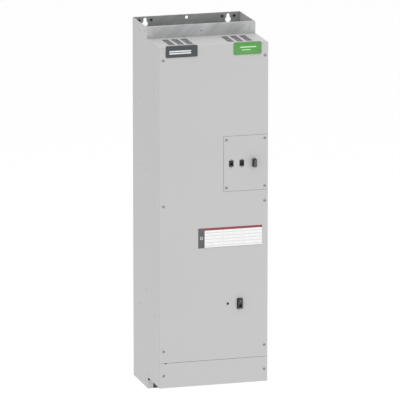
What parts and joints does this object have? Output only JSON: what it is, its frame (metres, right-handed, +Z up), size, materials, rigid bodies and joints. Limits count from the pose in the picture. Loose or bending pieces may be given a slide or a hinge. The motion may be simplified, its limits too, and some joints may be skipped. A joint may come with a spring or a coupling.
{
  "type": "wall-mounted drive cabinet",
  "caption": "Tall wall-hung power-electronics drive cabinet with a fan-cooled rear air duct, screwed front covers, a small control panel and roof air slots.",
  "frame": {"origin": "midway between the centres of the two hanging keyholes, on the wall plane", "axes": "+X to the right seen from the front, -Y out of the front covers, +Z up; the wall is the plane Y = 0"},
  "size_m": [0.4226, 0.398, 1.393],
  "materials": {
    "grey_paint": "satin",
    "galvanised_steel": "brushed",
    "screw_steel": "satin",
    "black_plastic": "matte",
    "charcoal_badge": "satin",
    "green_badge": "satin",
    "label_film": "satin",
    "dark_lens": "gloss",
    "guard_wire": "polished",
    "fan_plastic": "matte",
    "extruded_aluminium": "satin",
    "module_plastic": "matte",
    "capacitor_sleeve": "gloss",
    "copper": "satin",
    "core_steel": "varnished",
    "circuit_board": "satin",
    "brass": "satin",
    "terminal_plastic": "matte",
    "fuse_ceramic": "glazed"
  },
  "bodies": {
    "cabinet": {"back_sheet": "galvanised_steel", "left_side_panel": "grey_paint", "right_side_panel": "grey_paint", "upper_duct_wall": "galvanised_steel", "lower_duct_wall": "galvanised_steel", "duct_divider": "galvanised_steel", "roof_plate": "grey_paint", "floor_plate": "grey_paint", "gland_plate": "galvanised_steel", "main_cover": "grey_paint", "lower_cover": "grey_paint", "control_panel": "grey_paint", "panel_bracket": "galvanised_steel", "left_badge": "charcoal_badge", "right_badge": "green_badge", "rating_plate": "label_film", "cover_screws": "screw_steel", "panel_screws": "screw_steel", "side_rivets": "grey_paint", "left_data_socket": "black_plastic", "right_data_socket": "black_plastic", "socket_screws": "screw_steel", "selector_body": "black_plastic", "breaker_body": "black_plastic", "indicator_lens": "dark_lens", "inlet_grille": "galvanised_steel", "fan_plate": "galvanised_steel", "left_fan_frame": "fan_plastic", "right_fan_frame": "fan_plastic", "left_fan_guard": "guard_wire", "right_fan_guard": "guard_wire", "heatsink": "extruded_aluminium", "rectifier_module": "module_plastic", "capacitor_bracket": "galvanised_steel", "positive_bus_bar": "copper", "negative_bus_bar": "copper", "choke_core": "core_steel", "control_board": "circuit_board", "power_supply_board": "circuit_board", "gate_driver_board": "circuit_board", "board_standoffs": "brass", "mains_terminal_block": "terminal_plastic", "earth_bar": "brass", "contactor": "terminal_plastic", "line_fuses": "fuse_ceramic", "power_module_1": "module_plastic", "power_module_2": "module_plastic", "power_module_3": "module_plastic", "dc_capacitor_1": "capacitor_sleeve", "dc_capacitor_2": "capacitor_sleeve", "dc_capacitor_3": "capacitor_sleeve", "dc_capacitor_4": "capacitor_sleeve", "choke_winding_1": "copper", "choke_winding_2": "copper", "choke_winding_3": "copper"},
    "selector": {"selector_knob": "black_plastic"},
    "breaker_handle": {"breaker_lever": "black_plastic"},
    "left_rotor": {"left_fan_rotor": "fan_plastic"},
    "right_rotor": {"right_fan_rotor": "fan_plastic"}
  },
  "joints": [
    {"name": "selector_turn", "type": "hinge", "parent": "cabinet", "child": "selector", "pos_m": [0.1555, -0.376, -0.472], "axis": [0, 1, 0], "range_deg": [0, 90]},
    {"name": "breaker_throw", "type": "hinge", "parent": "cabinet", "child": "breaker_handle", "pos_m": [0.1015, -0.372, -1.0115], "axis": [1, 0, 0], "range_deg": [0, 70]},
    {"name": "left_fan_spin", "type": "hinge", "parent": "cabinet", "child": "left_rotor", "pos_m": [-0.092, -0.1, -0.08], "axis": [0, 0, 1], "continuous": true},
    {"name": "right_fan_spin", "type": "hinge", "parent": "cabinet", "child": "right_rotor", "pos_m": [0.092, -0.1, -0.08], "axis": [0, 0, 1], "continuous": true}
  ]
}
